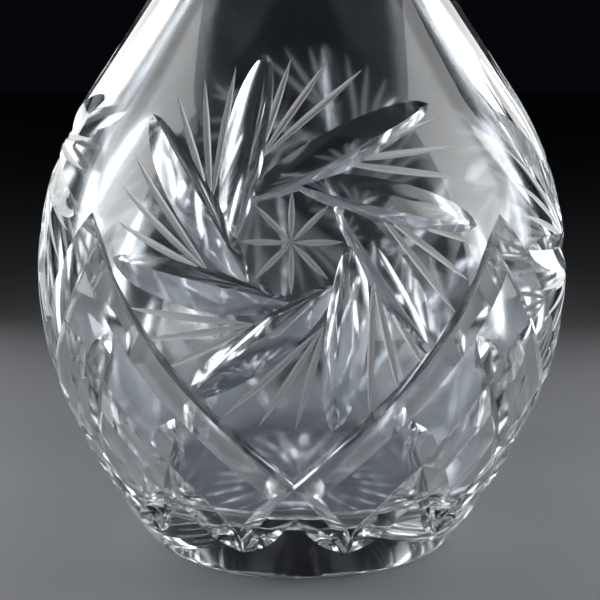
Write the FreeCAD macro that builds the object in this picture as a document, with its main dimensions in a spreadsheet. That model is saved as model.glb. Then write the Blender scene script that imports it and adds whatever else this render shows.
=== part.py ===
import FreeCAD, Part
import math
import os
import Sketcher
from FreeCAD import Placement, Rotation, Vector

# Cut-crystal wine decanter with a ground-in stopper.
# Lengths are in millimetres, +Z is up, and the origin is at the centre of the base.

doc = FreeCAD.newDocument("wine_decanter")

# ---------------------------------------------------------------- driving sizes
SIZES = {
    # body, outside
    "belly_radius": 60.0,
    "belly_height": 60.0,
    "belly_curve": 75.0,
    "flank_angle": 22.8,
    "flank_curve": 163.0,
    "shoulder_angle": 34.0,
    "heel_round": 1.5,
    # body, inside
    "wall": 7.0,
    "base_thickness": 15.0,
    "floor_round": 12.0,
    "recess_radius": 28.0,
    "recess_depth": 1.5,
    # neck and pouring lip
    "neck_radius": 16.5,
    "neck_curve": 40.0,
    "bore_radius": 10.5,
    "lip_top": 222.0,
    "lip_flare": 14.0,
    "lip_radius": 24.0,
    "lip_edge": 3.0,
    "lip_wall": 4.4,
    "lip_round": 1.2,
    # ground socket and plug
    "socket_top": 210.0,
    "socket_length": 26.0,
    "socket_taper": 0.05,
    "plug_gap": 0.05,
    "plug_short": 2.0,
    "plug_round": 1.0,
    # stopper above the plug
    "waist_radius": 8.5,
    "waist_length": 11.0,
    "knob_radius": 22.0,
    "facet_distance": 20.2,
    "facet_tilt": 43.0,
    "table_distance": 18.5,
    # wide mitre cuts of the lattice
    "mitre_width": 8.0,
    "mitre_angle": 120.0,
    "mitre_fade": 9.0,
    "peak_height": 74.4,
    "arch_height": 46.2,
    "cross_height": 24.0,
    "tip_height": 7.8,
    "tip_turn": 15.0,
    "branch_start_turn": 36.5,
    "branch_start_height": 57.6,
    "branch_cross_height": 44.7,
    "twig_start_turn": 23.5,
    "twig_start_height": 41.4,
    "twig_bend_turn": 28.5,
    "twig_bend_height": 31.2,
    # pinwheel on each panel
    "wheel_height": 77.4,
    "wheel_inner": 11.3,
    "wheel_outer": 38.4,
    "wheel_sweep": 82.0,
    "petal_lead_angle": 60.0,
    "petal_trail_angle": 46.5,
}
PANELS = 4
PETALS = 8
FACETS = 8
PROUD = 2.0  # how far a cutting tool stands out of the glass
STEP = 7.0  # length of one straight facet of a cut
LIFT = 0.2  # how far above the glass a cut starts and ends

sheet = doc.addObject("Spreadsheet::Sheet", "sizes")
for row, (alias, value) in enumerate(SIZES.items(), 1):
    sheet.set(f"A{row}", alias)
    sheet.set(f"B{row}", str(value))
    sheet.setAlias(f"B{row}", alias)
doc.recompute()


def size(alias):
    return float(sheet.get(alias))


# ---------------------------------------------------------------- profile of the outside
belly_centre = size("belly_radius") - size("belly_curve")
flank = math.radians(size("flank_angle"))
shoulder = math.radians(size("shoulder_angle"))
flank_extra = size("flank_curve") - size("belly_curve")
flank_centre = Vector(
    belly_centre - flank_extra * math.cos(flank), 0, size("belly_height") + flank_extra * math.sin(flank)
)
flank_top = size("belly_height") - size("belly_curve") * math.sin(flank)
shoulder_start = size("belly_height") + size("belly_curve") * math.sin(shoulder)
shoulder_radius = belly_centre + size("belly_curve") * math.cos(shoulder)


def outer_radius(height):
    """Radius of the uncut body at a height: flank arc, belly arc, then the straight shoulder."""
    if height < flank_top:
        return flank_centre.x + math.sqrt(size("flank_curve") ** 2 - (height - flank_centre.z) ** 2)
    if height < shoulder_start:
        rise = height - size("belly_height")
        return belly_centre + math.sqrt(size("belly_curve") ** 2 - rise**2)
    return shoulder_radius - (height - shoulder_start) * math.tan(shoulder)


def on_body(turn, height):
    """A point on the uncut body, its turn in degrees counted from -Y towards +X."""
    angle = math.radians(turn)
    radius = outer_radius(height)
    return Vector(radius * math.sin(angle), -radius * math.cos(angle), height)


def body_normal(turn, height):
    angle = math.radians(turn)
    step = 0.01
    slope = (outer_radius(height + step) - outer_radius(height - step)) / (2 * step)
    return Vector(math.sin(angle), -math.cos(angle), -slope).normalize()


# ---------------------------------------------------------------- helpers for sketches
def plane_of(body, role):
    for feature in body.Origin.OriginFeatures:
        if feature.Role == role:
            return feature
    raise ValueError(role)


def sketch_on(body, role, name, turn=0.0):
    sketch = body.newObject("Sketcher::SketchObject", name)
    sketch.AttachmentSupport = (plane_of(body, role), [""])
    sketch.MapMode = "FlatFace"
    sketch.AttachmentOffset = Placement(Vector(), Rotation(Vector(0, 1, 0), turn))
    return sketch


def line(sketch, start, end):
    return sketch.addGeometry(Part.LineSegment(Vector(*start, 0), Vector(*end, 0)), False)


def arc(sketch, centre, radius, start, end):
    """An arc counter-clockwise from one angle to another, in degrees."""
    circle = Part.Circle(Vector(*centre, 0), Vector(0, 0, 1), radius)
    turned = Part.ArcOfCircle(circle, math.radians(start), math.radians(end))
    return sketch.addGeometry(turned, False)


def join(sketch, first, first_end, second, second_end, kind="Coincident"):
    sketch.addConstraint(Sketcher.Constraint(kind, first, first_end, second, second_end))


def drive(sketch, constraint, name, expression):
    """Adds a dimension to a sketch, names it and ties it to the sheet."""
    index = sketch.addConstraint(constraint)
    sketch.renameConstraint(index, name)
    sketch.setExpression(f"Constraints.{name}", expression)


def height_of(sketch, geometry, end, name, expression, now):
    drive(sketch, Sketcher.Constraint("DistanceY", -1, 1, geometry, end, now), name, expression)


def reach_of(sketch, geometry, end, name, expression, now):
    drive(sketch, Sketcher.Constraint("DistanceX", -1, 1, geometry, end, now), name, expression)


def radius_of(sketch, geometry, name, expression, now):
    drive(sketch, Sketcher.Constraint("Radius", geometry, now), name, expression)


def finish(feature, body):
    body.Tip = feature
    doc.recompute()
    return feature


# ---------------------------------------------------------------- blown blank of the decanter
blank = doc.addObject("PartDesign::Body", "blank")
outside = sketch_on(blank, "XZ_Plane", "outside")

foot_angle = math.degrees(math.asin(-flank_centre.z / size("flank_curve")))
foot_radius = outer_radius(0.0)
neck_centre_x = size("neck_radius") + size("neck_curve")
arc_reach = neck_centre_x - size("neck_curve") * math.cos(shoulder)
neck_arc_start = shoulder_start + (shoulder_radius - arc_reach) / math.tan(shoulder)
neck_start = neck_arc_start + size("neck_curve") * math.sin(shoulder)
flare_start = size("lip_top") - size("lip_flare")
edge_start = size("lip_top") - size("lip_edge")
lip_out = size("lip_radius") - size("neck_radius")
lip_rise = edge_start - flare_start
lip_curve = (lip_out**2 + lip_rise**2) / (2 * lip_out)
lip_angle = 180 - math.degrees(math.asin(lip_rise / lip_curve))

foot = line(outside, (0, 0), (foot_radius, 0))
flank_arc = arc(
    outside, (flank_centre.x, flank_centre.z), size("flank_curve"), foot_angle, -size("flank_angle")
)
belly_arc = arc(
    outside,
    (belly_centre, size("belly_height")),
    size("belly_curve"),
    -size("flank_angle"),
    size("shoulder_angle"),
)
slope = line(outside, (shoulder_radius, shoulder_start), (arc_reach, neck_arc_start))
neck_arc = arc(
    outside, (neck_centre_x, neck_start), size("neck_curve"), 180, 180 + size("shoulder_angle")
)
neck = line(outside, (size("neck_radius"), neck_start), (size("neck_radius"), flare_start))
lip_arc = arc(outside, (size("neck_radius") + lip_curve, flare_start), lip_curve, lip_angle, 180)
edge = line(outside, (size("lip_radius"), edge_start), (size("lip_radius"), size("lip_top")))
top = line(outside, (size("lip_radius"), size("lip_top")), (0, size("lip_top")))
axis = line(outside, (0, size("lip_top")), (0, 0))

join(outside, foot, 1, -1, 1)
join(outside, foot, 2, flank_arc, 1)
join(outside, flank_arc, 2, belly_arc, 1, "Tangent")
join(outside, belly_arc, 2, slope, 1, "Tangent")
join(outside, slope, 2, neck_arc, 2, "Tangent")
join(outside, neck_arc, 1, neck, 1, "Tangent")
join(outside, neck, 2, lip_arc, 2, "Tangent")
join(outside, lip_arc, 1, edge, 1)
join(outside, edge, 2, top, 1)
join(outside, top, 2, axis, 1)
join(outside, axis, 2, foot, 1)
for level in (foot, top):
    outside.addConstraint(Sketcher.Constraint("Horizontal", level))
for upright in (neck, edge, axis):
    outside.addConstraint(Sketcher.Constraint("Vertical", upright))

reach_of(outside, belly_arc, 3, "belly_centre", "sizes.belly_radius - sizes.belly_curve", belly_centre)
height_of(outside, belly_arc, 3, "belly_level", "sizes.belly_height", size("belly_height"))
radius_of(outside, belly_arc, "belly_curve", "sizes.belly_curve", size("belly_curve"))
radius_of(outside, flank_arc, "flank_curve", "sizes.flank_curve", size("flank_curve"))
height_of(
    outside,
    belly_arc,
    1,
    "flank_top",
    "sizes.belly_height - sizes.belly_curve * sin(sizes.flank_angle * 1deg)",
    flank_top,
)
height_of(
    outside,
    belly_arc,
    2,
    "shoulder_start",
    "sizes.belly_height + sizes.belly_curve * sin(sizes.shoulder_angle * 1deg)",
    shoulder_start,
)
radius_of(outside, neck_arc, "neck_curve", "sizes.neck_curve", size("neck_curve"))
reach_of(outside, neck, 1, "neck_radius", "sizes.neck_radius", size("neck_radius"))
height_of(outside, neck, 2, "flare_start", "sizes.lip_top - sizes.lip_flare", flare_start)
reach_of(outside, edge, 1, "lip_radius", "sizes.lip_radius", size("lip_radius"))
height_of(outside, edge, 1, "edge_start", "sizes.lip_top - sizes.lip_edge", edge_start)
height_of(outside, top, 1, "lip_top", "sizes.lip_top", size("lip_top"))
doc.recompute()

glass = blank.newObject("PartDesign::Revolution", "glass")
glass.Profile = outside
glass.ReferenceAxis = (outside, ["V_Axis"])
glass.Angle = 360
finish(glass, blank)

# ---------------------------------------------------------------- hollow, from the floor to the lip
cavity = sketch_on(blank, "XZ_Plane", "cavity")
inner_belly = size("belly_curve") - size("wall")
inner_flank = size("flank_curve") - size("wall")
corner_centre_z = size("base_thickness") + size("floor_round")
corner_reach = inner_flank - size("floor_round")
corner_centre_x = flank_centre.x + math.sqrt(corner_reach**2 - (flank_centre.z - corner_centre_z) ** 2)
corner_angle = -math.degrees(math.asin((flank_centre.z - corner_centre_z) / corner_reach))
inner_neck_curve = size("neck_curve") + size("neck_radius") - size("bore_radius")
inner_shoulder_z = size("belly_height") + inner_belly * math.sin(shoulder)
inner_shoulder_x = belly_centre + inner_belly * math.cos(shoulder)
inner_neck_x = size("bore_radius") + inner_neck_curve
inner_arc_x = inner_neck_x - inner_neck_curve * math.cos(shoulder)
inner_arc_z = inner_shoulder_z + (inner_shoulder_x - inner_arc_x) / math.tan(shoulder)
inner_neck_z = inner_arc_z + inner_neck_curve * math.sin(shoulder)
socket_bottom = size("socket_top") - size("socket_length")
socket_radius = size("bore_radius") + size("socket_taper") * size("socket_length")
mouth_radius = size("lip_radius") - size("lip_wall")
flare_out = mouth_radius - socket_radius
flare_rise = size("lip_top") - size("socket_top")
flare_curve = (flare_out**2 + flare_rise**2) / (2 * flare_out)
flare_angle = 180 - math.degrees(math.asin(min(1.0, flare_rise / flare_curve)))

floor = line(cavity, (0, size("base_thickness")), (corner_centre_x, size("base_thickness")))
corner = arc(cavity, (corner_centre_x, corner_centre_z), size("floor_round"), 270, 360 + corner_angle)
inside_flank = arc(
    cavity, (flank_centre.x, flank_centre.z), inner_flank, corner_angle, -size("flank_angle")
)
inside_belly = arc(
    cavity,
    (belly_centre, size("belly_height")),
    inner_belly,
    -size("flank_angle"),
    size("shoulder_angle"),
)
inside_slope = line(cavity, (inner_shoulder_x, inner_shoulder_z), (inner_arc_x, inner_arc_z))
inside_neck = arc(
    cavity, (inner_neck_x, inner_neck_z), inner_neck_curve, 180, 180 + size("shoulder_angle")
)
bore = line(cavity, (size("bore_radius"), inner_neck_z), (size("bore_radius"), socket_bottom))
socket = line(cavity, (size("bore_radius"), socket_bottom), (socket_radius, size("socket_top")))
mouth = arc(cavity, (socket_radius + flare_curve, size("socket_top")), flare_curve, flare_angle, 180)
opening = line(cavity, (mouth_radius, size("lip_top")), (0, size("lip_top")))
core = line(cavity, (0, size("lip_top")), (0, size("base_thickness")))

join(cavity, floor, 2, corner, 1, "Tangent")
join(cavity, corner, 2, inside_flank, 1, "Tangent")
join(cavity, inside_flank, 2, inside_belly, 1, "Tangent")
join(cavity, inside_belly, 2, inside_slope, 1, "Tangent")
join(cavity, inside_slope, 2, inside_neck, 2, "Tangent")
join(cavity, inside_neck, 1, bore, 1, "Tangent")
join(cavity, bore, 2, socket, 1)
join(cavity, socket, 2, mouth, 2)
join(cavity, mouth, 1, opening, 1)
join(cavity, opening, 2, core, 1)
join(cavity, core, 2, floor, 1)
cavity.addConstraint(Sketcher.Constraint("PointOnObject", floor, 1, -2))
for level in (floor, opening):
    cavity.addConstraint(Sketcher.Constraint("Horizontal", level))
for upright in (bore, core):
    cavity.addConstraint(Sketcher.Constraint("Vertical", upright))
cavity.addConstraint(Sketcher.Constraint("Horizontal", mouth, 3, mouth, 2))

reach_of(cavity, inside_belly, 3, "belly_centre", "sizes.belly_radius - sizes.belly_curve", belly_centre)
height_of(cavity, inside_belly, 3, "belly_level", "sizes.belly_height", size("belly_height"))
radius_of(cavity, inside_belly, "belly_inside", "sizes.belly_curve - sizes.wall", inner_belly)
radius_of(cavity, inside_flank, "flank_inside", "sizes.flank_curve - sizes.wall", inner_flank)
radius_of(cavity, corner, "floor_round", "sizes.floor_round", size("floor_round"))
height_of(cavity, floor, 1, "base_thickness", "sizes.base_thickness", size("base_thickness"))
height_of(
    cavity,
    inside_belly,
    1,
    "flank_top",
    "sizes.belly_height - (sizes.belly_curve - sizes.wall) * sin(sizes.flank_angle * 1deg)",
    size("belly_height") - inner_belly * math.sin(flank),
)
height_of(
    cavity,
    inside_belly,
    2,
    "shoulder_start",
    "sizes.belly_height + (sizes.belly_curve - sizes.wall) * sin(sizes.shoulder_angle * 1deg)",
    inner_shoulder_z,
)
radius_of(
    cavity,
    inside_neck,
    "neck_inside",
    "sizes.neck_curve + sizes.neck_radius - sizes.bore_radius",
    inner_neck_curve,
)
reach_of(cavity, bore, 2, "bore_radius", "sizes.bore_radius", size("bore_radius"))
height_of(cavity, bore, 2, "socket_bottom", "sizes.socket_top - sizes.socket_length", socket_bottom)
reach_of(
    cavity,
    socket,
    2,
    "socket_radius",
    "sizes.bore_radius + sizes.socket_taper * sizes.socket_length",
    socket_radius,
)
height_of(cavity, socket, 2, "socket_top", "sizes.socket_top", size("socket_top"))
reach_of(cavity, opening, 1, "mouth_radius", "sizes.lip_radius - sizes.lip_wall", mouth_radius)
height_of(cavity, opening, 1, "lip_top", "sizes.lip_top", size("lip_top"))
doc.recompute()

hollow = blank.newObject("PartDesign::Groove", "hollow")
hollow.Profile = cavity
hollow.ReferenceAxis = (cavity, ["V_Axis"])
hollow.Angle = 360
finish(hollow, blank)

# ---------------------------------------------------------------- recess under the base
recess_circle = sketch_on(blank, "XY_Plane", "recess_circle")
ring = recess_circle.addGeometry(Part.Circle(Vector(), Vector(0, 0, 1), size("recess_radius")), False)
recess_circle.addConstraint(Sketcher.Constraint("Coincident", ring, 3, -1, 1))
radius_of(recess_circle, ring, "recess_radius", "sizes.recess_radius", size("recess_radius"))
recess = blank.newObject("PartDesign::Pocket", "recess")
recess.Profile = recess_circle
recess.Type = "Length"
recess.Reversed = True
recess.setExpression("Length", "sizes.recess_depth")
finish(recess, blank)


def ring_edges(feature, height, radius):
    """The circular edges of a feature that lie at one height and have one radius."""
    names = []
    for number, candidate in enumerate(feature.Shape.Edges, 1):
        if not isinstance(candidate.Curve, Part.Circle):
            continue
        level = candidate.Curve.Center.z
        if abs(level - height) < 0.01 and abs(candidate.Curve.Radius - radius) < 0.01:
            names.append(f"Edge{number}")
    return names


heel = blank.newObject("PartDesign::Fillet", "heel")
heel.Base = (recess, ring_edges(recess, 0.0, foot_radius))
heel.setExpression("Radius", "sizes.heel_round")
finish(heel, blank)
rim = blank.newObject("PartDesign::Fillet", "rim")
rim_edges = ring_edges(heel, size("lip_top"), size("lip_radius")) + ring_edges(
    heel, size("lip_top"), mouth_radius
)
rim.Base = (heel, rim_edges)
rim.setExpression("Radius", "sizes.lip_round")
finish(rim, blank)

# ---------------------------------------------------------------- wide mitre cuts of the lattice
def mitre_section(point, normal, side, depth, stretch=1.0):
    """A V across the cut: its point lies under the surface and its two corners stand proud of it."""
    half_angle = math.radians(size("mitre_angle") / 2)
    reach = (depth + PROUD) * math.tan(half_angle) * stretch
    low = point - normal * depth
    high = point + normal * PROUD
    return Part.makePolygon([low, high + side * reach, high - side * reach, low])


def cut_depth():
    return size("mitre_width") / 2 / math.tan(math.radians(size("mitre_angle") / 2))


def spread(points):
    """Adds points between those of a path, evenly in turn and height, about one step apart."""
    result = [points[0]]
    for (turn_a, height_a), (turn_b, height_b) in zip(points, points[1:]):
        span = (on_body(turn_b, height_b) - on_body(turn_a, height_a)).Length
        count = max(1, round(span / STEP))
        for index in range(1, count + 1):
            share = index / count
            result.append((turn_a + (turn_b - turn_a) * share, height_a + (height_b - height_a) * share))
    return result


def arch(share):
    """Height of a main cut between two panels: a parabola from its crossing (0) to its peak (1)."""
    cross = size("cross_height")
    half = size("arch_height") - cross
    full = size("peak_height") - cross
    bend = 2 * (full - 2 * half)
    return cross + (full - bend) * share + bend * share**2


def mitre_cut(points):
    """One cut of the V-edged wheel along a path of (turn, height), which fades out at both ends."""
    places = [on_body(*point) for point in points]
    travelled = [0.0]
    for before, after in zip(places, places[1:]):
        travelled.append(travelled[-1] + (after - before).Length)
    sections = []
    for index, place in enumerate(places):
        before = places[max(index - 1, 0)]
        after = places[min(index + 1, len(places) - 1)]
        normal = body_normal(*points[index])
        along = (after - before).normalize()
        side = normal.cross(along).normalize()
        leg = (place - before) if index else (after - place)
        stretch = 1 / leg.normalize().dot(along)
        to_end = min(travelled[index], travelled[-1] - travelled[index])
        fade = min(1.0, to_end / size("mitre_fade"))
        depth = cut_depth() * fade - LIFT * (1 - fade)
        sections.append(mitre_section(place, normal, side, depth, stretch))
    return Part.makeLoft(sections, True, True)


def mirrored(points):
    return [(-turn, height) for turn, height in points]


QUARTER = 360 / PANELS
peak_turn = QUARTER / 2
tip_turn = size("tip_turn")
shares = [index / 8 for index in range(9)]
rise = [(peak_turn * share, arch(share)) for share in shares]
fall = [(QUARTER - turn, height) for turn, height in reversed(rise[:-1])]
main_path = [(-tip_turn, size("tip_height"))] + rise + fall + [(QUARTER + tip_turn, size("tip_height"))]
branch_path = [
    (size("branch_start_turn"), size("branch_start_height")),
    (peak_turn, size("branch_cross_height")),
    (QUARTER - tip_turn, size("tip_height")),
]
twig_path = [
    (size("twig_start_turn"), size("twig_start_height")),
    (size("twig_bend_turn"), size("twig_bend_height")),
    (peak_turn, size("tip_height")),
]
paths = {
    "arch": [main_path],
    "branch": [branch_path, mirrored(branch_path)],
    "twig": [twig_path, mirrored(twig_path)],
}
cutters = []
for name, group in paths.items():
    for path in group:
        shape = mitre_cut(spread(path))
        for panel in range(PANELS):
            cutter = doc.addObject("Part::Feature", f"{name}_cutter")
            cutter.Shape = shape
            cutter.Placement = Placement(Vector(), Rotation(Vector(0, 0, 1), panel * QUARTER))
            cutters.append(cutter)

# ---------------------------------------------------------------- pinwheel of petals on each panel
def wheel_point(radius, polar):
    """A point on the panel that faces -Y, in polar form about the middle of its pinwheel."""
    across = radius * math.cos(math.radians(polar))
    up = radius * math.sin(math.radians(polar))
    height = size("wheel_height")
    step = 0.25 if up > 0 else -0.25
    climbed = 0.0
    while climbed < abs(up):
        slant = (outer_radius(height + step) - outer_radius(height)) / step
        climbed += abs(step) * math.hypot(1, slant)
        height += step
    return on_body(math.degrees(across / outer_radius(height)), height)


def petal_cutter(start, end):
    """A straight V cut whose edge runs through the glass from one point of the surface to another."""
    middle = (start + end) / 2
    along = (end - start).normalize()
    turn = math.degrees(math.atan2(middle.x, -middle.y))
    normal = body_normal(turn, middle.z)
    side = normal.cross(along).normalize()
    out = along.cross(side).normalize()
    high = cut_depth() * 2 + PROUD
    lead = side * -high * math.tan(math.radians(size("petal_lead_angle")))
    trail = side * high * math.tan(math.radians(size("petal_trail_angle")))
    tail = start - along * PROUD
    corners = [tail, tail + out * high + lead, tail + out * high + trail, tail]
    face = Part.Face(Part.makePolygon(corners))
    return face.extrude(along * ((end - start).Length + 2 * PROUD))


for petal in range(PETALS):
    polar = 360 / PETALS * petal
    start = wheel_point(size("wheel_inner"), polar)
    end = wheel_point(size("wheel_outer"), polar - size("wheel_sweep"))
    shape = petal_cutter(start, end)
    for panel in range(PANELS):
        cutter = doc.addObject("Part::Feature", "petal_cutter")
        cutter.Shape = shape
        cutter.Placement = Placement(Vector(), Rotation(Vector(0, 0, 1), panel * QUARTER))
        cutters.append(cutter)
doc.recompute()
cuts = doc.addObject("Part::MultiFuse", "cuts")
cuts.Shapes = cutters
decanter = doc.addObject("Part::Cut", "decanter_body")
decanter.Base = blank
decanter.Tool = cuts

# ---------------------------------------------------------------- stopper: ground plug, waist and ball
stopper = doc.addObject("PartDesign::Body", "stopper")
knob_level = size("socket_top") + size("waist_length")
knob_centre = knob_level + math.sqrt(size("knob_radius") ** 2 - size("waist_radius") ** 2)
knob_start = -math.degrees(math.acos(size("waist_radius") / size("knob_radius")))
plug_bottom = socket_bottom + size("plug_short")
plug_foot = size("bore_radius") + size("socket_taper") * size("plug_short") - size("plug_gap")
plug_head = socket_radius - size("plug_gap")

turning = sketch_on(stopper, "XZ_Plane", "turning")
end_face = line(turning, (0, plug_bottom), (plug_foot, plug_bottom))
plug = line(turning, (plug_foot, plug_bottom), (plug_head, size("socket_top")))
waist = line(turning, (plug_head, size("socket_top")), (size("waist_radius"), knob_level))
ball = arc(turning, (0, knob_centre), size("knob_radius"), knob_start, 90)
spine = line(turning, (0, knob_centre + size("knob_radius")), (0, plug_bottom))
join(turning, end_face, 2, plug, 1)
join(turning, plug, 2, waist, 1)
join(turning, waist, 2, ball, 1)
join(turning, ball, 2, spine, 1)
join(turning, spine, 2, end_face, 1)
turning.addConstraint(Sketcher.Constraint("Horizontal", end_face))
turning.addConstraint(Sketcher.Constraint("Vertical", spine))
turning.addConstraint(Sketcher.Constraint("PointOnObject", spine, 1, -2))
turning.addConstraint(Sketcher.Constraint("PointOnObject", ball, 3, -2))
reach_of(
    turning,
    plug,
    1,
    "plug_foot",
    "sizes.bore_radius + sizes.socket_taper * sizes.plug_short - sizes.plug_gap",
    plug_foot,
)
height_of(
    turning,
    plug,
    1,
    "plug_bottom",
    "sizes.socket_top - sizes.socket_length + sizes.plug_short",
    plug_bottom,
)
reach_of(
    turning,
    plug,
    2,
    "plug_head",
    "sizes.bore_radius + sizes.socket_taper * sizes.socket_length - sizes.plug_gap",
    plug_head,
)
height_of(turning, plug, 2, "plug_top", "sizes.socket_top", size("socket_top"))
reach_of(turning, waist, 2, "waist_radius", "sizes.waist_radius", size("waist_radius"))
height_of(turning, waist, 2, "knob_level", "sizes.socket_top + sizes.waist_length", knob_level)
radius_of(turning, ball, "knob_radius", "sizes.knob_radius", size("knob_radius"))
doc.recompute()

turned = stopper.newObject("PartDesign::Revolution", "turned")
turned.Profile = turning
turned.ReferenceAxis = (turning, ["V_Axis"])
turned.Angle = 360
finish(turned, stopper)


def facet_ring(name, tilt, distance, turn, copies):
    """Grinds flat facets on the ball, all at one distance from its centre and one tilt, in a ring."""
    outline = sketch_on(stopper, "XZ_Plane", f"{name}_outline")
    place = Rotation(Vector(0, 1, 0), turn).multiply(Rotation(Vector(0, 0, 1), tilt))
    outline.AttachmentOffset = Placement(Vector(0, knob_centre, 0), place)
    near = size(distance)
    far = size("knob_radius") + PROUD
    wide = math.sqrt(size("knob_radius") ** 2 - near**2) + PROUD
    corners = [(near, -wide), (far, -wide), (far, wide), (near, wide)]
    sides = [line(outline, *pair) for pair in zip(corners, corners[1:] + corners[:1])]
    for this, following in zip(sides, sides[1:] + sides[:1]):
        join(outline, this, 2, following, 1)
    for level in sides[0::2]:
        outline.addConstraint(Sketcher.Constraint("Horizontal", level))
    for upright in sides[1::2]:
        outline.addConstraint(Sketcher.Constraint("Vertical", upright))
    reach_of(outline, sides[0], 1, "distance", f"sizes.{distance}", near)
    reach_of(outline, sides[0], 2, "far", f"sizes.knob_radius + {PROUD}", far)
    chord = f"sqrt(sizes.knob_radius ^ 2 - sizes.{distance} ^ 2) + {PROUD}"
    height_of(outline, sides[2], 1, "upper", chord, wide)
    drive(outline, Sketcher.Constraint("DistanceY", sides[0], 1, -1, 1, wide), "lower", chord)
    doc.recompute()
    facet = stopper.newObject("PartDesign::Pocket", f"{name}_facet")
    facet.Profile = outline
    facet.Type = "Length"
    facet.Midplane = True
    facet.setExpression("Length", f"2 * ({chord})")
    finish(facet, stopper)
    if copies == 1:
        return facet
    ring = stopper.newObject("PartDesign::PolarPattern", f"{name}_facets")
    ring.Originals = [facet]
    ring.Axis = (plane_of(stopper, "Z_Axis"), [""])
    ring.Angle = 360
    ring.Occurrences = copies
    return finish(ring, stopper)


half_step = 180 / FACETS
for ring in (
    ("girdle", 0.0, "facet_distance", 0.0, FACETS),
    ("crown", size("facet_tilt"), "facet_distance", half_step, FACETS),
    ("skirt", -size("facet_tilt"), "facet_distance", half_step, FACETS),
    ("table", 90.0, "table_distance", 0.0, 1),
):
    before = stopper.Shape.Volume
    facet_ring(*ring)
    if stopper.Shape.Volume >= before:
        raise RuntimeError(f"the {ring[0]} facets cut nothing")

# ---------------------------------------------------------------- check and export
doc.recompute()
for item in doc.Objects:
    if "Invalid" in item.State or "Error" in item.State:
        raise RuntimeError(f"{item.Name} did not build: {item.State}")

os.makedirs("parts", exist_ok=True)
for piece in (decanter, stopper):
    if piece.Shape.isNull() or not piece.Shape.isValid() or len(piece.Shape.Solids) != 1:
        raise RuntimeError(f"{piece.Name} is not one sound solid")
for piece in (decanter, stopper):
    piece.Shape.exportStep(f"parts/{piece.Name}.step")
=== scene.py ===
import math

import bpy
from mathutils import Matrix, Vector


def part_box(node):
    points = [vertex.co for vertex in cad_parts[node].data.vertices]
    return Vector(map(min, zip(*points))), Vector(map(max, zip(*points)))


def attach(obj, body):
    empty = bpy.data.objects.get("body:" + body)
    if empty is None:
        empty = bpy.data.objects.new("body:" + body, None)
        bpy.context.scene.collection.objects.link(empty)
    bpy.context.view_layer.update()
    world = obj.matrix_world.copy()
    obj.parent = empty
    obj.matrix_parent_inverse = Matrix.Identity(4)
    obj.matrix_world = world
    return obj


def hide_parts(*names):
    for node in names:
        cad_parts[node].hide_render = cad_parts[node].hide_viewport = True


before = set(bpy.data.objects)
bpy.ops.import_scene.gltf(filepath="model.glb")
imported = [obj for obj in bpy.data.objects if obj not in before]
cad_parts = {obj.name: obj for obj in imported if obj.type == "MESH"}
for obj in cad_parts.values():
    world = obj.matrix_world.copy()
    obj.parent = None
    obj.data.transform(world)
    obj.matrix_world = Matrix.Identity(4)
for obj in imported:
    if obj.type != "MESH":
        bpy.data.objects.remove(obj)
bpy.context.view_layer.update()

# ------------------------------------------------------------------ camera
# A close view of the belly and shoulder from a little above, which leaves the neck out.
# The camera stands five belly radii from the bottle's axis and looks down by about 13 degrees.
body_low, body_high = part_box("decanter_body")
BELLY = (body_high[0] - body_low[0]) / 2
CAMERA_TURN = math.radians(2)
CAMERA_DISTANCE = 5 * BELLY
CAMERA_HEIGHT = 2.022 * BELLY
CAMERA_PITCH = math.radians(12.774)
CAMERA_ASIDE = -0.0004
CAMERA_LENS = 79.17

bpy.ops.object.select_all(action="DESELECT")
bpy.ops.object.camera_add(
    location=(
        CAMERA_DISTANCE * math.sin(CAMERA_TURN) + CAMERA_ASIDE,
        -CAMERA_DISTANCE * math.cos(CAMERA_TURN),
        CAMERA_HEIGHT,
    ),
    rotation=(math.pi / 2 - CAMERA_PITCH, 0, CAMERA_TURN),
)
camera = bpy.context.object
camera.name = "camera"
camera.data.lens = CAMERA_LENS
camera.data.sensor_width = 36
camera.data.clip_start = 0.01
bpy.context.scene.camera = camera


# ------------------------------------------------------------------ floor and studio
# Matt, pale paper under small soft boxes, which stand close to the glass all round it.
# The room beyond is dark, so that the glass is drawn by what its edges bend and reflect.
def linear(colour):
    """An sRGB hex colour as the linear RGBA that Blender mixes."""
    channels = [int(colour[place:place + 2], 16) / 255 for place in (1, 3, 5)]
    return [c / 12.92 if c <= 0.04045 else ((c + 0.055) / 1.055) ** 2.4 for c in channels] + [1.0]


def add_node(tree, kind, inputs=None, links=None):
    """Adds a node, sets its inputs, and links inputs to (node, output) pairs."""
    node = tree.nodes.new(kind)
    for name, value in (inputs or {}).items():
        node.inputs[name].default_value = value
    for name, (source, output) in (links or {}).items():
        tree.links.new(source.outputs[output], node.inputs[name])
    return node


def surface(name, inputs):
    """A material that is the same all over: one Principled shader with the inputs given."""
    material = bpy.data.materials.new(name)
    material.use_nodes = True
    tree = material.node_tree
    tree.nodes.clear()
    shader = add_node(tree, "ShaderNodeBsdfPrincipled", inputs=inputs)
    add_node(tree, "ShaderNodeOutputMaterial", links={"Surface": (shader, "BSDF")})
    return material


FLOOR_COLOUR = "#a8abaf"
FLOOR_WIDTH = 3.0
FLOOR_GAP = 0.0002

# Matt paper: an even, pale grey that takes soft shadows and mirrors nothing.
paper = surface("matt_background_paper", {"Base Color": linear(FLOOR_COLOUR), "Roughness": 0.6})
bpy.ops.object.select_all(action="DESELECT")
bpy.ops.mesh.primitive_plane_add(size=FLOOR_WIDTH, location=(0, 0, body_low[2] - FLOOR_GAP))
floor = bpy.context.object
floor.name = "floor"
floor.data.materials.append(paper)

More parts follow.
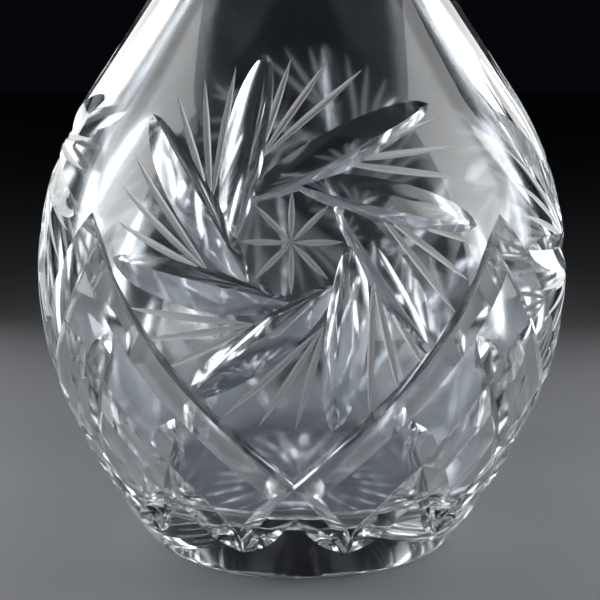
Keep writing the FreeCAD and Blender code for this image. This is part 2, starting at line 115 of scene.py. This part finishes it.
world = bpy.data.worlds.new("dim_room")
world.use_nodes = True
world.node_tree.nodes["Background"].inputs["Color"].default_value = linear("#101318")
world.node_tree.nodes["Background"].inputs["Strength"].default_value = 0.3
bpy.context.scene.world = world
bpy.context.scene.view_settings.view_transform = "Standard"


def soft_box(name, place, target, width, height, glow, spread):
    """A rectangular soft box that faces a point, as bright as its glow straight ahead.
    Its honeycomb grid narrows the light to a spread in degrees, and dims it towards that edge."""
    half = math.radians(spread) / 2
    gain = 0.5 / (0.5 * math.sin(half) ** 2 - (half / 2 - math.sin(2 * half) / 4) / math.tan(half))
    direction = Vector(target) - Vector(place)
    rotation = direction.to_track_quat("-Z", "Y").to_euler()
    bpy.ops.object.light_add(type="AREA", location=place, rotation=rotation)
    lamp = bpy.context.object
    lamp.name = name
    lamp.data.shape = "RECTANGLE"
    lamp.data.size = width
    lamp.data.size_y = height
    lamp.data.energy = glow * math.pi * width * height / gain
    lamp.data.spread = half * 2
    lamp.visible_camera = False


AIM = (0, 0, 0.11)
FRONT = (0, -0.06, 0.07)
for side, hand in (("left", -1), ("right", 1)):
    soft_box(f"{side}_box", (0.24 * hand, -0.03, 0.17), AIM, 0.16, 0.30, 4.0, 115)
    soft_box(f"{side}_rim_strip", (0.17 * hand, 0.17, 0.12), FRONT, 0.07, 0.22, 3.2, 115)
    soft_box(f"{side}_low_fill", (0.16 * hand, -0.20, 0.03), AIM, 0.10, 0.06, 3.0, 115)

# ------------------------------------------------------------------ blown bottle, before cutting
# The bottle is blown lead crystal with walls thick enough to cut, drawn in to a long neck
# and flared to a pouring lip. Its outline is a flank, a belly, a straight shoulder and a neck.
MM = 0.001
BELLY_RADIUS = 60.0
BELLY_LEVEL = 60.0
BELLY_CURVE = 75.0
FLANK_ANGLE = 22.8
FLANK_CURVE = 163.0
SHOULDER_ANGLE = 34.0
WALL = 7.0
BASE_THICKNESS = 15.0
FLOOR_ROUND = 12.0
RECESS_RADIUS = 28.0
RECESS_DEPTH = 1.5
HEEL_ROUND = 1.5
NECK_RADIUS = 16.5
NECK_CURVE = 40.0
BORE_RADIUS = 10.5
LIP_TOP = (body_high[2] - body_low[2]) / MM
LIP_FLARE = 14.0
LIP_RADIUS = 24.0
LIP_EDGE = 3.0
LIP_WALL = 4.4
LIP_ROUND = 1.2
SOCKET_TOP = 210.0
SOCKET_LENGTH = 26.0
SOCKET_TAPER = 0.05
SPIN_STEPS = 256
SEAM_REACH = 0.000002

belly_x = BELLY_RADIUS - BELLY_CURVE
flank_x = belly_x - (FLANK_CURVE - BELLY_CURVE) * math.cos(math.radians(FLANK_ANGLE))
flank_z = BELLY_LEVEL + (FLANK_CURVE - BELLY_CURVE) * math.sin(math.radians(FLANK_ANGLE))
flank_top = BELLY_LEVEL - BELLY_CURVE * math.sin(math.radians(FLANK_ANGLE))
shoulder_start = BELLY_LEVEL + BELLY_CURVE * math.sin(math.radians(SHOULDER_ANGLE))
shoulder_slope = math.tan(math.radians(SHOULDER_ANGLE))
shoulder_radius = belly_x + BELLY_CURVE * math.cos(math.radians(SHOULDER_ANGLE))


def outer_radius(height):
    """Radius of the uncut body at a height, in millimetres."""
    if height < flank_top:
        return flank_x + math.sqrt(FLANK_CURVE**2 - (height - flank_z) ** 2)
    if height < shoulder_start:
        return belly_x + math.sqrt(BELLY_CURVE**2 - (height - BELLY_LEVEL) ** 2)
    return shoulder_radius - (height - shoulder_start) * shoulder_slope


def arc(centre, radius, start, end, step=1.6):
    """Points on an arc from one angle to another, in degrees, about one step apart."""
    count = max(2, round(radius * math.radians(abs(end - start)) / step))
    angles = [math.radians(start + (end - start) * index / count) for index in range(count + 1)]
    return [(centre[0] + radius * math.cos(a), centre[1] + radius * math.sin(a)) for a in angles]


def run(start, end, step=5.0):
    """Points on a straight run, about one step apart, without its first point."""
    count = max(1, round(math.dist(start, end) / step))
    return [
        (start[0] + (end[0] - start[0]) * i / count, start[1] + (end[1] - start[1]) * i / count)
        for i in range(1, count + 1)
    ]


def neck_and_shoulder(belly, neck, curve):
    """The belly's upper arc, the shoulder's slope and the hollow curve into the neck."""
    points = arc((belly_x, BELLY_LEVEL), belly, -FLANK_ANGLE, SHOULDER_ANGLE)
    end_x = neck + curve * (1 - math.cos(math.radians(SHOULDER_ANGLE)))
    end_z = points[-1][1] + (points[-1][0] - end_x) / shoulder_slope
    centre = (neck + curve, end_z + curve * math.sin(math.radians(SHOULDER_ANGLE)))
    points += run(points[-1], (end_x, end_z))
    return points + arc(centre, curve, 180 + SHOULDER_ANGLE, 180)[1:]


heel_angle = -math.degrees(math.asin((flank_z - HEEL_ROUND) / (FLANK_CURVE - HEEL_ROUND)))
heel_x = flank_x + math.sqrt((FLANK_CURVE - HEEL_ROUND) ** 2 - (flank_z - HEEL_ROUND) ** 2)
lip_out = LIP_RADIUS - NECK_RADIUS
lip_rise = LIP_FLARE - LIP_EDGE
lip_curve = (lip_out**2 + lip_rise**2) / (2 * lip_out)
lip_angle = 180 - math.degrees(math.asin(lip_rise / lip_curve))
flare_start = LIP_TOP - LIP_FLARE

outside = [(RECESS_RADIUS, RECESS_DEPTH), (RECESS_RADIUS, 0)]
outside += run((RECESS_RADIUS, 0), (heel_x, 0))
outside += arc((heel_x, HEEL_ROUND), HEEL_ROUND, -90, heel_angle, 0.3)[1:]
outside += arc((flank_x, flank_z), FLANK_CURVE, heel_angle, -FLANK_ANGLE)[1:]
outside += neck_and_shoulder(BELLY_CURVE, NECK_RADIUS, NECK_CURVE)[1:]
outside += run(outside[-1], (NECK_RADIUS, flare_start))
outside += arc((NECK_RADIUS + lip_curve, flare_start), lip_curve, 180, lip_angle, 0.8)[1:]
outside += run(outside[-1], (LIP_RADIUS, LIP_TOP - LIP_ROUND), 0.6)
outside += arc((LIP_RADIUS - LIP_ROUND, LIP_TOP - LIP_ROUND), LIP_ROUND, 0, 90, 0.2)[1:]

corner_z = BASE_THICKNESS + FLOOR_ROUND
corner_reach = FLANK_CURVE - WALL - FLOOR_ROUND
corner_x = flank_x + math.sqrt(corner_reach**2 - (flank_z - corner_z) ** 2)
corner_angle = -math.degrees(math.asin((flank_z - corner_z) / corner_reach))
socket_bottom = SOCKET_TOP - SOCKET_LENGTH
socket_radius = BORE_RADIUS + SOCKET_TAPER * SOCKET_LENGTH
mouth_radius = LIP_RADIUS - LIP_WALL
flare_out = mouth_radius - socket_radius
flare_rise = LIP_TOP - SOCKET_TOP
flare_curve = (flare_out**2 + flare_rise**2) / (2 * flare_out)
flare_angle = 180 - math.degrees(math.asin(flare_rise / flare_curve))
inside = run((0, BASE_THICKNESS), (corner_x, BASE_THICKNESS))
inside += arc((corner_x, corner_z), FLOOR_ROUND, -90, corner_angle, 1.0)[1:]
inside += arc((flank_x, flank_z), FLANK_CURVE - WALL, corner_angle, -FLANK_ANGLE)[1:]
inside += neck_and_shoulder(BELLY_CURVE - WALL, BORE_RADIUS, NECK_CURVE + NECK_RADIUS - BORE_RADIUS)[1:]
inside += run(inside[-1], (BORE_RADIUS, socket_bottom))
inside += run(inside[-1], (socket_radius, SOCKET_TOP))
inside += arc((socket_radius + flare_curve, SOCKET_TOP), flare_curve, 180, flare_angle, 0.8)[1:]


def turned(name, points, steps):
    """A vertex is drawn out along an outline in the XZ plane and spun about the Z axis."""
    bpy.ops.object.select_all(action="DESELECT")
    bpy.ops.mesh.primitive_plane_add(size=1, location=(0, 0, 0))
    piece = bpy.context.object
    piece.name = name
    bpy.ops.object.mode_set(mode="EDIT")
    bpy.ops.mesh.select_all(action="SELECT")
    bpy.ops.mesh.merge(type="CENTER")
    bpy.ops.transform.translate(value=(points[0][0] * MM, 0, points[0][1] * MM))
    for before, after in zip(points, points[1:]):
        move = ((after[0] - before[0]) * MM, 0, (after[1] - before[1]) * MM)
        bpy.ops.mesh.extrude_region_move(TRANSFORM_OT_translate={"value": move})
    bpy.ops.mesh.select_all(action="SELECT")
    bpy.ops.mesh.spin(steps=steps, angle=2 * math.pi, center=(0, 0, 0), axis=(0, 0, 1))
    bpy.ops.mesh.select_all(action="SELECT")
    bpy.ops.mesh.remove_doubles(threshold=SEAM_REACH)
    bpy.ops.mesh.normals_make_consistent(inside=False)
    bpy.ops.object.mode_set(mode="OBJECT")
    return piece


outline = [(0, RECESS_DEPTH)] + outside + [(mouth_radius + LIP_ROUND, LIP_TOP)]
outline += list(reversed(inside)) + [(0, BASE_THICKNESS)]
bottle = turned("cut_bottle", outline, SPIN_STEPS)

# ------------------------------------------------------------------ cutting the glass
# Each cut is ground by a V-edged wheel that is pressed in, rolled along a line on the glass
# and lifted out again, so it is widest in the middle and runs out to a point at its ends.
PANELS = 4
QUARTER = 360 / PANELS
PROUD = 1.6
THINNEST = 0.02
RUN_OUT = 0.01
SHARPEST_CORNER = 0.2


def slope_at(height):
    """How fast the uncut body's radius changes with height."""
    nudge = 0.01
    return (outer_radius(height + nudge) - outer_radius(height - nudge)) / (2 * nudge)


def on_glass(turn, height):
    """A point on the uncut body and its outward normal, its turn counted from -Y towards +X."""
    angle = math.radians(turn)
    radius = outer_radius(height)
    point = Vector((radius * math.sin(angle), -radius * math.cos(angle), height))
    return point, Vector((math.sin(angle), -math.cos(angle), -slope_at(height))).normalized()


def wheel_cut(path, depths, left, right, flanks=1, hollow=1.0, mitre=None):
    """The glass that a wheel takes away along a path of points and normals, as vertices and faces.
    left and right are the angles of its two sides from its own plane, in degrees. Each side has a
    number of flanks, which a hollow over 1 rounds towards the bottom of the cut. Where the path turns
    a sharp corner, at the point numbered mitre, the cut is widened so that both arms stay whole."""
    across = [index / flanks for index in range(-flanks, flanks + 1)]
    ring = len(across) + 2
    last = len(path) - 1
    vertices = []
    for index, (point, normal) in enumerate(path):
        before = path[max(index - 1, 0)][0]
        after = path[min(index + 1, last)][0]
        along = (after - before).normalized()
        side = normal.cross(along).normalized()
        if index == mitre:
            side = side / max(SHARPEST_CORNER, (point - before).normalized().dot(along))
        depth = depths[index]
        wide = max(depth, THINNEST)
        for share in across:
            reach = wide * share * math.tan(math.radians(left if share > 0 else right))
            vertices.append(point + side * reach - normal * depth * (1 - abs(share) ** hollow))
        vertices.append(point + normal * PROUD + side * (wide + PROUD) * math.tan(math.radians(left)))
        vertices.append(point + normal * PROUD - side * (wide + PROUD) * math.tan(math.radians(right)))
    faces = [tuple(range(ring)), tuple(ring * last + corner for corner in reversed(range(ring)))]
    for index in range(last):
        low = ring * index
        for corner in range(ring):
            following = (corner + 1) % ring
            faces.append(tuple(low + place for place in (corner, ring + corner, ring + following, following)))
    return vertices, faces


def all_round(shapes):
    """Repeats cuts on each of the bottle's panels."""
    result = []
    for panel in range(PANELS):
        angle = math.radians(panel * QUARTER)
        cosine, sine = math.cos(angle), math.sin(angle)
        for vertices, faces in shapes:
            moved = [Vector((v.x * cosine - v.y * sine, v.x * sine + v.y * cosine, v.z)) for v in vertices]
            result.append((moved, faces))
    return result


def tool(name, shapes, material):
    """Joins the glass taken by several cuts into one tool for a Boolean."""
    vertices = []
    faces = []
    for shape_vertices, shape_faces in shapes:
        start = len(vertices)
        vertices += [v * MM for v in shape_vertices]
        faces += [tuple(start + corner for corner in face) for face in shape_faces]
    mesh = bpy.data.meshes.new(name)
    mesh.from_pydata(vertices, [], faces)
    mesh.materials.append(material)
    piece = bpy.data.objects.new(name, mesh)
    bpy.context.collection.objects.link(piece)
    bpy.ops.object.select_all(action="DESELECT")
    bpy.context.view_layer.objects.active = piece
    piece.select_set(True)
    bpy.ops.object.mode_set(mode="EDIT")
    bpy.ops.mesh.select_all(action="SELECT")
    bpy.ops.mesh.normals_make_consistent(inside=False)
    bpy.ops.object.mode_set(mode="OBJECT")
    return piece


def cut_away(piece, name, shapes, material):
    """Takes a set of cuts that don't overlap each other out of a piece."""
    cutter = tool(name, shapes, material)
    bpy.ops.object.select_all(action="DESELECT")
    bpy.context.view_layer.objects.active = piece
    piece.select_set(True)
    boolean = piece.modifiers.new(name, "BOOLEAN")
    boolean.operation = "DIFFERENCE"
    boolean.solver = "MANIFOLD"
    boolean.object = cutter
    bpy.ops.object.modifier_apply(modifier=name)
    bpy.data.objects.remove(cutter)


CRYSTAL_IOR = 1.545
CLEAR = "#f7fbff"


def glass(name, colour, roughness, transmission=1.0):
    """Lead crystal with one finish. Lead makes it bend light more than window glass does."""
    finish = {"Base Color": linear(colour), "Roughness": roughness}
    return surface(name, finish | {"IOR": CRYSTAL_IOR, "Transmission Weight": transmission})


def copy_of(piece, name):
    """A separate copy of a piece, with its own mesh."""
    twin = bpy.data.objects.new(name, piece.data.copy())
    bpy.context.collection.objects.link(twin)
    return twin


# The outside is fire-polished: mirror-sharp reflections, and hardly any colour of its own.
crystal = glass("lead_crystal_fire_polished", CLEAR, 0.0)
# The wide cuts are polished in acid, which leaves a trace of softness in their glints.
polished_cut = glass("lead_crystal_acid_polished_cut", CLEAR, 0.06)
# The fine cuts stay as the stone left them: matt, pale grey lines that catch light from anywhere.
grey_cut = glass("lead_crystal_wheel_ground_grey", "#f4f6f8", 0.6, 0.1)
for finish in (crystal, polished_cut, grey_cut):
    bottle.data.materials.append(finish)
blown_bottle = copy_of(bottle, "blown_bottle")

# Wide mitre cuts: arches that meet in peaks between the panels, and lesser cuts that branch off.
MITRE_WIDTH = 8.0
MITRE_HALF_ANGLE = 60.0
MITRE_FADE = 9.0
MITRE_LIFT = 0.2
MITRE_FLANKS = 3
MITRE_HOLLOW = 1.15
MITRE_STEP = 2.5
CLIMB_STEPS = 24
PEAK_CLEAR = 9.0
PEAK_HEIGHT = 74.4
ARCH_HEIGHT = 46.2
CROSS_HEIGHT = 24.0
TIP_HEIGHT = 7.8
TIP_TURN = 15.0
BRANCH = [(36.5, 57.6), (QUARTER / 2, 44.7), (QUARTER - TIP_TURN, TIP_HEIGHT)]
TWIG = [(23.5, 41.4), (28.5, 31.2), (QUARTER / 2, TIP_HEIGHT)]
mitre_depth = MITRE_WIDTH / 2 / math.tan(math.radians(MITRE_HALF_ANGLE))


def arch(share):
    """Height of an arch: a parabola from its lowest crossing (0) to its peak (1)."""
    half = ARCH_HEIGHT - CROSS_HEIGHT
    full = PEAK_HEIGHT - CROSS_HEIGHT
    bend = 2 * (full - 2 * half)
    return CROSS_HEIGHT + (full - bend) * share + bend * share**2


def spread(corners, step):
    """Points between the corners of a line on the glass, evenly in turn and height."""
    points = [corners[0]]
    for start, end in zip(corners, corners[1:]):
        count = max(1, round((on_glass(*end)[0] - on_glass(*start)[0]).length / step))
        for index in range(1, count + 1):
            share = index / count
            points.append((start[0] + (end[0] - start[0]) * share, start[1] + (end[1] - start[1]) * share))
    return points


def mitre(points, peak=None):
    """A wide cut of even depth that runs out at both ends."""
    path = [on_glass(*point) for point in points]
    travelled = [0.0]
    for before, after in zip(path, path[1:]):
        travelled.append(travelled[-1] + (after[0] - before[0]).length)
    depths = []
    for distance in travelled:
        share = min(1.0, distance / MITRE_FADE, (travelled[-1] - distance) / MITRE_FADE)
        depths.append(mitre_depth * (1 - (1 - share) ** 2) - MITRE_LIFT * (1 - share))
    half = MITRE_HALF_ANGLE
    return wheel_cut(path, depths, half, half, MITRE_FLANKS, MITRE_HOLLOW, peak)


peak_turn = QUARTER / 2
climb = [(peak_turn * index / CLIMB_STEPS, arch(index / CLIMB_STEPS)) for index in range(CLIMB_STEPS + 1)]
peak_place = on_glass(*climb[-1])[0]
climb = [place for place in climb[:-1] if (on_glass(*place)[0] - peak_place).length > PEAK_CLEAR]
tip = (-TIP_TURN, TIP_HEIGHT)
left_leg = spread([tip, climb[0]], MITRE_STEP)[:-1] + climb
right_leg = [(QUARTER - turn, height) for turn, height in reversed(left_leg)]
arches = all_round([mitre(left_leg + [(peak_turn, PEAK_HEIGHT)] + right_leg, len(left_leg))])
cut_away(bottle, "arches_front_and_back", arches[0::2], polished_cut)
cut_away(bottle, "arches_at_the_sides", arches[1::2], polished_cut)
for name, corners in (("branch", BRANCH), ("twig", TWIG)):
    for hand in (1, -1):
        line = [(hand * turn, height) for turn, height in spread(corners, MITRE_STEP)]
        shapes = all_round([mitre(line)])
        cut_away(bottle, f"{name}_{'left' if hand < 0 else 'right'}", shapes, polished_cut)

# Pinwheels: eight leaf-shaped petals, a fan of fine splits between each two, and a star in the middle.
# The cutter worked by eye, so petals and fans lean a few degrees away from an even spacing.
WHEEL_HEIGHT = 77.4
PETALS = 8
PETAL_INNER = 11.3
PETAL_OUTER = 38.4
PETAL_SWEEP = 82.0
PETAL_WIDTH = 8.8
PETAL_LEFT = 64.0
PETAL_RIGHT = 54.0
PETAL_SECTIONS = 28
PETAL_FLANKS = 4
PETAL_HOLLOW = 1.25
PETAL_FULLNESS = 0.6
PETAL_LEANS = [4, -2, -6, -9, 0, -2, 0, 2]
SPLITS = 3
SPLIT_LEANS = [4, 4, 0, -3, 4, -2, 0, 3]
SPLIT_ROOT = 16.8
SPLIT_TIP = 37.2
SPLIT_ROOT_TURN = 14.0
SPLIT_TURN = 11.0
SPLIT_WIDTH = 1.5
SPLIT_HALF_ANGLE = 50.0
SPLIT_SECTIONS = 10
RAY_START = 0.15
RAY_LENGTH = 9.9
RAY_WIDTH = 1.25
RAY_SECTIONS = 6


def on_panel(across, up):
    """A place on the front panel, from its distances along the glass from the pinwheel's middle."""
    strides = 60
    height = WHEEL_HEIGHT
    for _ in range(strides):
        height += up / strides / math.hypot(1, slope_at(height))
    return on_glass(math.degrees(across / outer_radius(height)), height)


def polar(radius, degrees):
    """A place around the pinwheel's middle, its angle counted from the right, anticlockwise."""
    return Vector((radius * math.cos(math.radians(degrees)), radius * math.sin(math.radians(degrees))))


def leaf(start, end, width, left, right, sections, flanks=1, hollow=1.0, fullness=0.9):
    """A cut that is widest in its middle and runs to a point at each end. The lower its fullness,
    the longer it keeps its width."""
    depth = width / (math.tan(math.radians(left)) + math.tan(math.radians(right)))
    path = []
    depths = []
    for index in range(sections + 1):
        share = index / sections
        place = start.lerp(end, share)
        path.append(on_panel(place.x, place.y))
        depths.append(depth * (4 * share * (1 - share)) ** fullness - RUN_OUT)
    return wheel_cut(path, depths, left, right, flanks, hollow)


petals = []
splits = []
rays = []
for index in range(PETALS):
    turn = 360 / PETALS * index
    tip_turn = turn - PETAL_SWEEP
    start = polar(PETAL_INNER, turn)
    end = polar(PETAL_OUTER, tip_turn + PETAL_LEANS[index])
    petal = leaf(
        start, end, PETAL_WIDTH, PETAL_LEFT, PETAL_RIGHT,
        PETAL_SECTIONS, PETAL_FLANKS, PETAL_HOLLOW, PETAL_FULLNESS,
    )
    petals.append(petal)
    root = polar(SPLIT_ROOT, tip_turn + SPLIT_ROOT_TURN)
    for split in range(1, SPLITS + 1):
        tip = polar(SPLIT_TIP, tip_turn + SPLIT_LEANS[index] - SPLIT_TURN * split)
        splits.append(leaf(root, tip, SPLIT_WIDTH, SPLIT_HALF_ANGLE, SPLIT_HALF_ANGLE, SPLIT_SECTIONS))
    start = polar(RAY_START, turn)
    end = polar(RAY_LENGTH, turn)
    rays.append(leaf(start, end, RAY_WIDTH, SPLIT_HALF_ANGLE, SPLIT_HALF_ANGLE, RAY_SECTIONS))
cut_away(bottle, "petals_even", all_round(petals[0::2]), polished_cut)
cut_away(bottle, "petals_odd", all_round(petals[1::2]), polished_cut)
for split in range(SPLITS):
    cut_away(bottle, f"splits_{split + 1}", all_round(splits[split::SPLITS]), grey_cut)
cut_away(bottle, "star", all_round(rays), grey_cut)

# The underside is ground hollow, so that the bottle stands on a ring, and is cut with a star.
STAR_HALF_ANGLE = 60.0
STAR_RAYS = 24
STAR_INNER = 1.5
STAR_OUTER = 27.0
STAR_WIDTH = 3.4
STAR_FULLNESS = 0.8
STAR_SECTIONS = 12


def flat_star(rays, inner, outer, level, facing, deepest, fullness, sections):
    """A star's cuts on a level face, which faces up (1) or down (-1)."""
    cuts = []
    for index in range(rays):
        angle = math.radians(360 / rays * index)
        outward = Vector((math.cos(angle), math.sin(angle), 0))
        path = []
        depths = []
        for section in range(sections + 1):
            share = section / sections
            place = outward * (inner + (outer - inner) * share) + Vector((0, 0, level))
            path.append((place, Vector((0, 0, facing))))
            depths.append(deepest * (4 * share * (1 - share)) ** fullness - RUN_OUT)
        cuts.append(wheel_cut(path, depths, STAR_HALF_ANGLE, STAR_HALF_ANGLE))
    return cuts


star_depth = STAR_WIDTH / 2 / math.tan(math.radians(STAR_HALF_ANGLE))
under = flat_star(
    STAR_RAYS, STAR_INNER, STAR_OUTER, RECESS_DEPTH, -1, star_depth, STAR_FULLNESS, STAR_SECTIONS
)
cut_away(bottle, "base_star_even", under[0::2], polished_cut)
cut_away(bottle, "base_star_odd", under[1::2], polished_cut)

# The socket at the neck's top is ground with the stopper's own plug, which leaves it frosted.
# Ground glass lets the light through but scatters it, so the joint looks like frost.
ground_joint = glass("lead_crystal_ground_joint", "#eef2f5", 0.45)
JOINT_REACH = 0.3


def grind_joint(piece, slope_radius):
    """Gives the frosted finish to the tapered faces of a plug or a socket."""
    piece.data.materials.append(ground_joint)
    slot = len(piece.data.materials) - 1
    for face in piece.data.polygons:
        height = face.center.z / MM
        radius = math.hypot(face.center.x, face.center.y) / MM
        if socket_bottom < height < SOCKET_TOP and abs(radius - slope_radius(height)) < JOINT_REACH:
            face.material_index = slot


def socket_radius_at(height):
    """Radius of the tapered socket at a height, in millimetres."""
    return BORE_RADIUS + SOCKET_TAPER * (height - socket_bottom)


grind_joint(bottle, socket_radius_at)

# Polishing leaves the uncut skin unbroken right up to the sharp edge of each cut.
SMOOTH_ANGLE = math.radians(12)


def smooth(piece):
    """Shades a piece smooth, except across the edges of its cuts."""
    bpy.ops.object.select_all(action="DESELECT")
    bpy.context.view_layer.objects.active = piece
    piece.select_set(True)
    bpy.ops.object.shade_smooth_by_angle(angle=SMOOTH_ANGLE)


def keep_blown_surface(piece, blown):
    """Where the wheel didn't touch the glass, its shading stays that of the uncut shape."""
    smooth(piece)
    smooth(blown)
    twin = copy_of(piece, "twin")
    bpy.ops.object.select_all(action="DESELECT")
    bpy.context.view_layer.objects.active = twin
    twin.select_set(True)
    transfer = twin.modifiers.new("blown_normals", "DATA_TRANSFER")
    transfer.object = blown
    transfer.use_loop_data = True
    transfer.data_types_loops = {"CUSTOM_NORMAL"}
    transfer.loop_mapping = "POLYINTERP_NEAREST"
    bpy.ops.object.modifier_apply(modifier="blown_normals")
    uncut = [corner.vector.copy() for corner in twin.data.corner_normals]
    normals = [corner.vector.copy() for corner in piece.data.corner_normals]
    for face in piece.data.polygons:
        if face.material_index != 0:
            continue
        for corner in face.loop_indices:
            if uncut[corner].dot(normals[corner]) > math.cos(SMOOTH_ANGLE):
                normals[corner] = uncut[corner]
    piece.data.normals_split_custom_set([tuple(normal) for normal in normals])
    bpy.data.objects.remove(twin)
    bpy.data.objects.remove(blown)


def finish_glass(piece, body, node):
    """Puts a piece of glass on its body, in the place of its plain solid."""
    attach(piece, body)
    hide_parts(node)


keep_blown_surface(bottle, blown_bottle)

# The hollow was shaped by breath alone. Its skin is faintly uneven and soft, not mirror-smooth,
# so that what lies behind it is seen blurred.
blown_inside = glass("lead_crystal_blown_inside", CLEAR, 0.11)
bottle.data.materials.append(blown_inside)
NEAR = 0.2
INWARD = -0.01
UPWARD = 0.9
for face in bottle.data.polygons:
    middle = face.center / MM
    in_hollow = BASE_THICKNESS - NEAR < middle.z < socket_bottom
    inward = middle.x * face.normal.x + middle.y * face.normal.y < INWARD
    on_floor = abs(middle.z - BASE_THICKNESS) < NEAR and face.normal.z > UPWARD
    if face.material_index == 0 and in_hollow and (inward or on_floor):
        face.material_index = len(bottle.data.materials) - 1
finish_glass(bottle, "decanter", "decanter_body")

# ------------------------------------------------------------------ stopper
# One solid piece of the same crystal: a tapered plug, ground to fit its own socket, a short
# waist, and a ball with rings of flat facets and a star on its top.
PLUG_GAP = 0.05
PLUG_SHORT = 2.0
WAIST_RADIUS = 8.5
WAIST_LENGTH = 11.0
KNOB_RADIUS = 22.0
FACETS = 8
FACET_DISTANCE = 20.2
FACET_TILT = 43.0
TABLE_DISTANCE = 18.5
TABLE_STAR_INNER = 0.3
TABLE_STAR_OUTER = 8.8
TABLE_STAR_DEPTH = 0.55
TABLE_STAR_FULLNESS = 0.9
TABLE_STAR_SECTIONS = 8
EASED = 0.4
STOPPER_SPIN_STEPS = 128

knob_level = SOCKET_TOP + WAIST_LENGTH
knob_centre = knob_level + math.sqrt(KNOB_RADIUS**2 - WAIST_RADIUS**2)
knob_start = -math.degrees(math.acos(WAIST_RADIUS / KNOB_RADIUS))
plug_bottom = socket_bottom + PLUG_SHORT
plug_foot = socket_radius_at(plug_bottom) - PLUG_GAP
plug_head = socket_radius - PLUG_GAP
silhouette = [(0, plug_bottom)] + run((0, plug_bottom), (plug_foot - EASED, plug_bottom), 3)
silhouette += [(plug_foot, plug_bottom + EASED)]
silhouette += run(silhouette[-1], (plug_head, SOCKET_TOP), 3)
silhouette += run(silhouette[-1], (WAIST_RADIUS, knob_level), 3)
silhouette += arc((0, knob_centre), KNOB_RADIUS, knob_start, 90, 1.0)[1:]
stopper = turned("cut_stopper", silhouette, STOPPER_SPIN_STEPS)
for finish in (crystal, polished_cut, grey_cut):
    stopper.data.materials.append(finish)
blown_stopper = copy_of(stopper, "blown_stopper")


def facet(tilt, turn, distance):
    """A flat facet: the glass beyond a plane at one distance from the ball's centre."""
    outward = Vector(
        (
            math.cos(math.radians(tilt)) * math.cos(math.radians(turn)),
            math.cos(math.radians(tilt)) * math.sin(math.radians(turn)),
            math.sin(math.radians(tilt)),
        )
    )
    across = outward.cross(Vector((0, 0, 1))) if abs(outward.z) < 0.9 else Vector((1, 0, 0))
    across.normalize()
    upward = outward.cross(across).normalized()
    reach = math.sqrt(KNOB_RADIUS**2 - distance**2) + PROUD
    near = Vector((0, 0, knob_centre)) + outward * distance
    corners = []
    for depth in (0.0, KNOB_RADIUS - distance + PROUD):
        for side, rise in ((-1, -1), (1, -1), (1, 1), (-1, 1)):
            corners.append(near + outward * depth + across * reach * side + upward * reach * rise)
    faces = [(0, 1, 2, 3), (7, 6, 5, 4), (0, 4, 5, 1), (1, 5, 6, 2), (2, 6, 7, 3), (3, 7, 4, 0)]
    return corners, faces


for ring, tilt, offset in (("girdle", 0, 0), ("crown", FACET_TILT, 0.5), ("skirt", -FACET_TILT, 0.5)):
    for index in range(FACETS):
        turn = 360 / FACETS * (index + offset)
        cut_away(stopper, f"{ring}_{index}", [facet(tilt, turn, FACET_DISTANCE)], polished_cut)
cut_away(stopper, "table", [facet(90, 0, TABLE_DISTANCE)], polished_cut)
table_level = knob_centre + TABLE_DISTANCE
table_star = flat_star(
    FACETS, TABLE_STAR_INNER, TABLE_STAR_OUTER, table_level, 1,
    TABLE_STAR_DEPTH, TABLE_STAR_FULLNESS, TABLE_STAR_SECTIONS,
)
cut_away(stopper, "table_star", table_star, grey_cut)
grind_joint(stopper, socket_radius_at)
keep_blown_surface(stopper, blown_stopper)
finish_glass(stopper, "stopper", "stopper")

# ------------------------------------------------------------------ light paths
# Light crosses many faces of cut glass, so its paths are long, and bright specks are held down.
cycles = bpy.context.scene.cycles
cycles.max_bounces = 32
cycles.transmission_bounces = 32
cycles.glossy_bounces = 12
cycles.transparent_max_bounces = 16
cycles.sample_clamp_indirect = 8.0
cycles.blur_glossy = 0.5
cycles.use_denoising = True
